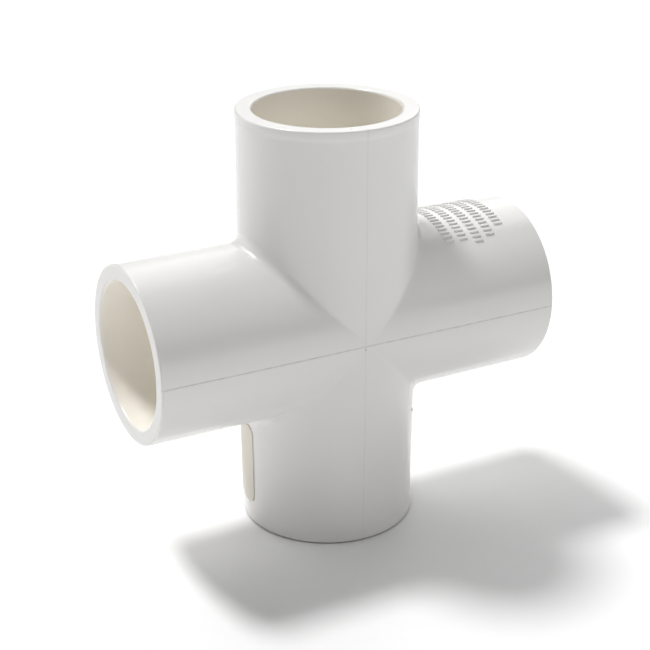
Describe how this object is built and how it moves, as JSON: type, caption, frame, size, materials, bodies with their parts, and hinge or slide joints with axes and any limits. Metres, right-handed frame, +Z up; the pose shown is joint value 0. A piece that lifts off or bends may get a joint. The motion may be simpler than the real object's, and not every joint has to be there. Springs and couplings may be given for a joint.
{
  "type": "cross fitting",
  "caption": "Planar four-way slip cross for solvent-welded plastic pipe, with equal plain sockets, crossing waterways and a blank wrap label.",
  "frame": {"origin": "the point where the axes of the two runs cross, which is the centre of the bounding box", "axes": "+Z up the vertical run, +X along the horizontal run towards the socket with the raised bars, -Y the front face"},
  "size_m": [0.08, 0.033, 0.08],
  "materials": {
    "white_pvc": "bright white injection-moulded rigid PVC, glossy with faint moulding waviness",
    "label_paper": "cream coated paper label, satin, blank"
  },
  "bodies": {
    "root": {"centre_body": "white_pvc", "socket_up": "white_pvc", "socket_down": "white_pvc", "socket_right": "white_pvc", "socket_left": "white_pvc", "raised_bars": "white_pvc", "blank_label": "label_paper"}
  },
  "joints": []
}
